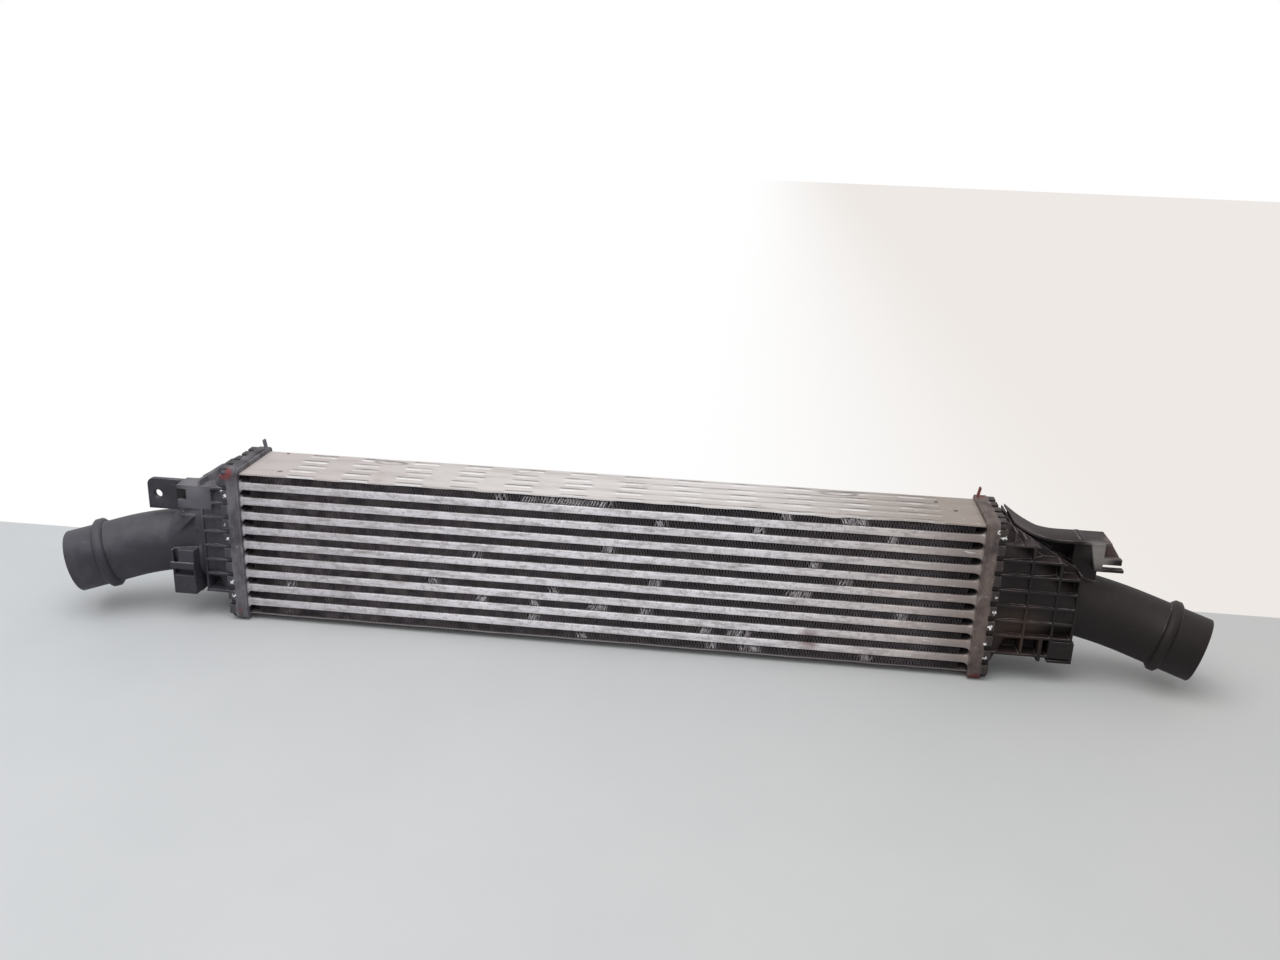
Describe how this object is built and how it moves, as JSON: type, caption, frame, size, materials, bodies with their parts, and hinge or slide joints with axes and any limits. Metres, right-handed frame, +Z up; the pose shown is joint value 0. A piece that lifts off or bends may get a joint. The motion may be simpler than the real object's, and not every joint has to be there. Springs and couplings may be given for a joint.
{
  "type": "intercooler",
  "caption": "Air-to-air charge cooler: brazed tube-and-fin core with side plates, crimped header plates and moulded end tanks with slanted hose necks, an eye and a fork for mounting.",
  "frame": {"origin": "middle of the bottom side plate's underside", "axes": "+X along the core towards the fork end, +Y through the core from front to back, +Z up"},
  "size_m": [0.9746, 0.1004, 0.1465],
  "materials": {
    "tube_alloy": "brazed, dull and dusty",
    "turbulator_alloy": "clean rolled sheet",
    "fin_alloy": "dusty folded foil",
    "plate_alloy": "dull rolled sheet, lightly stained",
    "left_header_alloy": "dull, grimy",
    "right_header_alloy": "dull, grimy and brownish",
    "seal_rubber": "matt moulded rubber",
    "left_plastic": "glass-filled nylon, dusty",
    "right_plastic": "glass-filled nylon, dusty"
  },
  "bodies": {
    "root": {"tube_1": "tube_alloy", "turbulator_1": "turbulator_alloy", "tube_2": "tube_alloy", "turbulator_2": "turbulator_alloy", "tube_3": "tube_alloy", "turbulator_3": "turbulator_alloy", "tube_4": "tube_alloy", "turbulator_4": "turbulator_alloy", "tube_5": "tube_alloy", "turbulator_5": "turbulator_alloy", "tube_6": "tube_alloy", "turbulator_6": "turbulator_alloy", "tube_7": "tube_alloy", "turbulator_7": "turbulator_alloy", "tube_8": "tube_alloy", "turbulator_8": "turbulator_alloy", "tube_9": "tube_alloy", "turbulator_9": "turbulator_alloy", "fin_1": "fin_alloy", "fin_2": "fin_alloy", "fin_3": "fin_alloy", "fin_4": "fin_alloy", "fin_5": "fin_alloy", "fin_6": "fin_alloy", "fin_7": "fin_alloy", "fin_8": "fin_alloy", "fin_9": "fin_alloy", "fin_10": "fin_alloy", "top_side_plate": "plate_alloy", "bottom_side_plate": "plate_alloy", "left_header": "left_header_alloy", "right_header": "right_header_alloy", "left_header_rim": "left_header_alloy", "right_header_rim": "right_header_alloy", "left_neck": "left_plastic", "right_neck": "right_plastic", "left_gasket": "seal_rubber", "right_gasket": "seal_rubber", "left_tank": "left_plastic", "right_tank": "right_plastic"}
  },
  "joints": []
}
